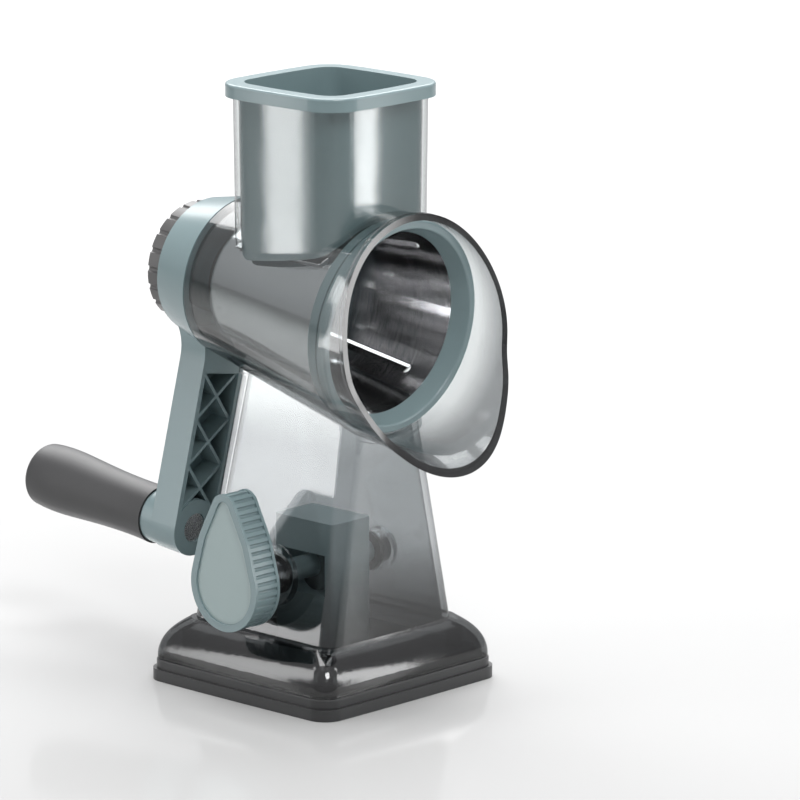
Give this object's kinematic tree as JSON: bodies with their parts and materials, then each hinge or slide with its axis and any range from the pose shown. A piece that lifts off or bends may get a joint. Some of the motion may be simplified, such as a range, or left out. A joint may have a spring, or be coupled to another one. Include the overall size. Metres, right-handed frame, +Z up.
{
  "type": "rotary cheese grater",
  "caption": "Hand-cranked drum grater with a clear tower and barrel, steel slicing cone, food chute with pusher, and a lever-worked suction foot.",
  "frame": {"origin": "middle of the foot's flat underside, where it stands on the table", "axes": "+Z up, -Y towards the drum's mouth, +Y towards the crank, -X towards the suction lever"},
  "size_m": [0.126, 0.2616, 0.2858],
  "materials": {
    "smoke_clear": "smoke grey transparent SAN, polished mould",
    "teal_plastic": "blue-grey ABS, satin gloss",
    "face_plastic": "lighter blue-grey ABS",
    "dark_plastic": "dark grey ABS, fine grain",
    "grip_plastic": "dark grey polypropylene",
    "bush_black": "black acetal",
    "foot_rubber": "black satin rubber",
    "drum_steel": "polished stainless steel",
    "steel_screws": "plated steel",
    "nut_brass": "turned brass"
  },
  "bodies": {
    "housing": {"tower_shell": "smoke_clear", "barrel_housing": "smoke_clear", "rear_bush": "bush_black", "base_plate": "dark_plastic", "base_screws": "steel_screws", "suction_pad": "foot_rubber", "shaft_bush_left": "bush_black", "shaft_bush_right": "bush_black"},
    "crank": {"crank_arm": "teal_plastic", "handle_spindle": "steel_screws", "spindle_screw": "steel_screws", "spindle_washer": "steel_screws"},
    "grip": {"handle_grip": "grip_plastic", "grip_end_cap": "grip_plastic"},
    "lock": {"lock_knob": "dark_plastic", "lock_stud": "steel_screws"},
    "drum": {"drum_cone": "drum_steel", "drum_front_ring": "teal_plastic", "drum_hub": "teal_plastic", "drum_insert_nut": "nut_brass"},
    "lever": {"lever_knob": "teal_plastic", "lever_face": "face_plastic", "lever_screw": "steel_screws", "cam_shaft": "teal_plastic", "lift_cam": "dark_plastic"},
    "lift": {"lift_yoke": "teal_plastic", "pad_stud": "dark_plastic"},
    "pusher": {"food_pusher": "teal_plastic"}
  },
  "joints": [
    {"name": "crank_turn", "type": "hinge", "parent": "housing", "child": "crank", "pos_m": [0, 0, 0.181], "axis": [0, -0.9954, -0.0958], "continuous": true},
    {"name": "grip_spin", "type": "hinge", "parent": "crank", "child": "grip", "pos_m": [-0.01974, 0.01168, 0.05965], "axis": [0, -0.9954, -0.0958], "continuous": true},
    {"name": "lock_turn", "type": "hinge", "parent": "crank", "child": "lock", "pos_m": [0, 0, 0.181], "axis": [0, -0.9954, -0.0958], "continuous": true},
    {"name": "drum_release", "type": "slide", "parent": "crank", "child": "drum", "axis": [0, -0.9954, -0.0958], "range_m": [0, 0.15]},
    {"name": "lever_turn", "type": "hinge", "parent": "housing", "child": "lever", "pos_m": [0, 0, 0.056], "axis": [-1, 0, 0], "range_deg": [0, 90]},
    {"name": "pad_lift", "type": "slide", "parent": "housing", "child": "lift", "axis": [0, 0, 1], "range_m": [0, 0.005], "deforming": ["suction_pad"]},
    {"name": "pusher_slide", "type": "slide", "parent": "housing", "child": "pusher", "axis": [0, 0, 1], "range_m": [0, 0.09]}
  ],
  "couplings": [
    {"joint": "pad_lift", "follows": "lever_turn", "m_per_rad": 0.003183}
  ]
}
